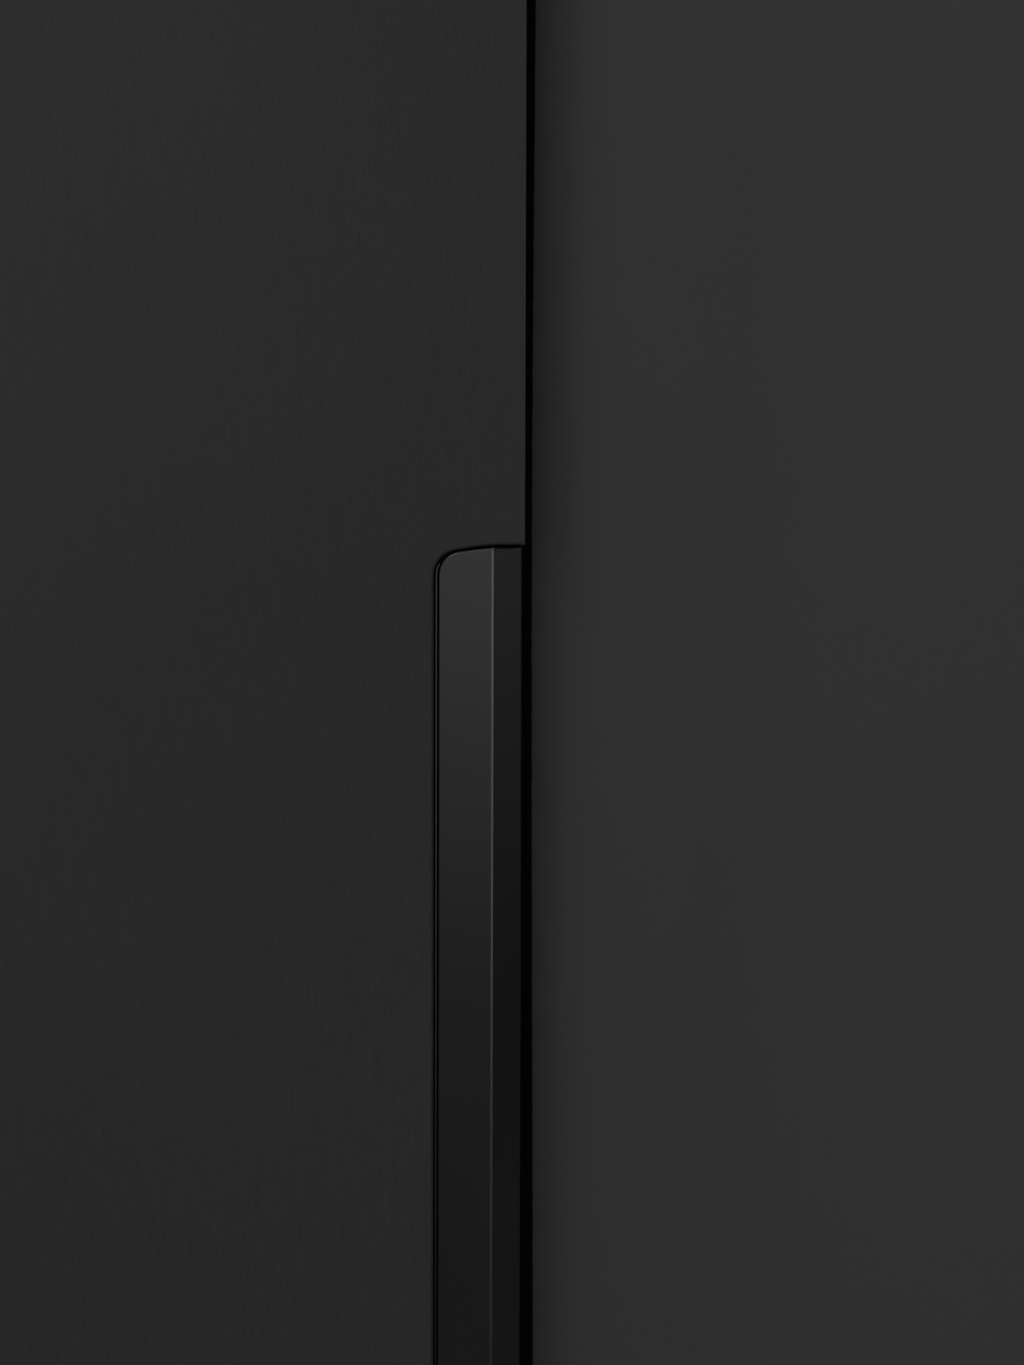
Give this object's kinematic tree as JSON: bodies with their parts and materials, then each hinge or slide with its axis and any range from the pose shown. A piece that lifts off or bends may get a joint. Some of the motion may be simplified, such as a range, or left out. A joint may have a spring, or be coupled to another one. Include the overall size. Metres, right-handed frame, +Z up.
{
  "type": "sliding door wardrobe",
  "caption": "Tall dark wardrobe with overlapping sliding leaves, faceted inset edge grips, a hanging side and a shelved side on a recessed plinth.",
  "frame": {"origin": "centre of the footprint on the floor", "axes": "+Z up, the leaves face -Y, +X to the right seen from the front"},
  "size_m": [1.5, 0.64, 2.1],
  "materials": {
    "leaf_grained": "fine grained matte laminate",
    "leaf_smooth": "smooth matte lacquer",
    "grip": "satin black powder coat",
    "carcass_board": "matte melamine",
    "raw_wood": "raw beech",
    "back_board": "painted hardboard",
    "track": "dark anodised",
    "zinc": "zinc plated",
    "rail_chrome": "satin chrome",
    "pile": "black pile",
    "nylon": "moulded nylon",
    "foot_plastic": "moulded"
  },
  "bodies": {
    "carcass": {"back_joint_strip": "back_board", "back_panel_left": "back_board", "back_panel_right": "back_board", "back_screws": "zinc", "bottom_panel": "carcass_board", "bottom_track": "track", "bottom_track_screws": "zinc", "cam_bolts": "zinc", "cam_locks": "zinc", "centre_partition": "carcass_board", "clothes_rail": "rail_chrome", "corner_blocks": "raw_wood", "dowels": "raw_wood", "foot_pads": "foot_plastic", "foot_stems": "zinc", "hat_shelf": "carcass_board", "plinth_front": "carcass_board", "plinth_rear": "carcass_board", "plinth_sides": "carcass_board", "rail_socket_screws": "zinc", "rail_sockets": "rail_chrome", "shelf_pins": "zinc", "shelves_right": "carcass_board", "shoe_shelf": "carcass_board", "side_panel_left": "carcass_board", "side_panel_right": "carcass_board", "top_panel": "carcass_board", "top_track": "track", "top_track_screws": "zinc", "track_stops": "nylon", "wall_rail_lower": "carcass_board", "wall_rail_upper": "carcass_board"},
    "door_left": {"brush_seal_left": "pile", "door_left_bands": "leaf_grained", "door_left_panel": "leaf_grained", "guide_screws_left": "zinc", "handle_left": "grip", "handle_screws_left": "zinc", "roller_axles_left": "zinc", "roller_housings_left": "nylon", "roller_screws_left": "zinc", "top_guides_left": "nylon"},
    "door_right": {"brush_seal_right": "pile", "door_right_bands": "leaf_smooth", "door_right_panel": "leaf_smooth", "guide_screws_right": "zinc", "handle_right": "grip", "handle_screws_right": "zinc", "roller_axles_right": "zinc", "roller_housings_right": "nylon", "roller_screws_right": "zinc", "top_guides_right": "nylon"},
    "roller_left_a": {"roller_left_a": "nylon"},
    "roller_left_b": {"roller_left_b": "nylon"},
    "roller_right_a": {"roller_right_a": "nylon"},
    "roller_right_b": {"roller_right_b": "nylon"}
  },
  "joints": [
    {"name": "slide_left", "type": "slide", "parent": "carcass", "child": "door_left", "axis": [1, 0, 0], "range_m": [0, 0.6739]},
    {"name": "slide_right", "type": "slide", "parent": "carcass", "child": "door_right", "axis": [-1, 0, 0], "range_m": [0, 0.6739]},
    {"name": "roll_left_a", "type": "hinge", "parent": "door_left", "child": "roller_left_a", "pos_m": [-0.66, -0.3072, 0.10955], "axis": [0, 1, 0], "range_deg": [0, 3218]},
    {"name": "roll_left_b", "type": "hinge", "parent": "door_left", "child": "roller_left_b", "pos_m": [-0.07, -0.3072, 0.10955], "axis": [0, 1, 0], "range_deg": [0, 3218]},
    {"name": "roll_right_a", "type": "hinge", "parent": "door_right", "child": "roller_right_a", "pos_m": [0.07, -0.2792, 0.10955], "axis": [0, -1, 0], "range_deg": [0, 3218]},
    {"name": "roll_right_b", "type": "hinge", "parent": "door_right", "child": "roller_right_b", "pos_m": [0.66, -0.2792, 0.10955], "axis": [0, -1, 0], "range_deg": [0, 3218]}
  ],
  "couplings": [
    {"joint": "roll_left_a", "follows": "slide_left", "rad_per_m": 83.333},
    {"joint": "roll_left_b", "follows": "slide_left", "rad_per_m": 83.333},
    {"joint": "roll_right_a", "follows": "slide_right", "rad_per_m": 83.333},
    {"joint": "roll_right_b", "follows": "slide_right", "rad_per_m": 83.333}
  ]
}
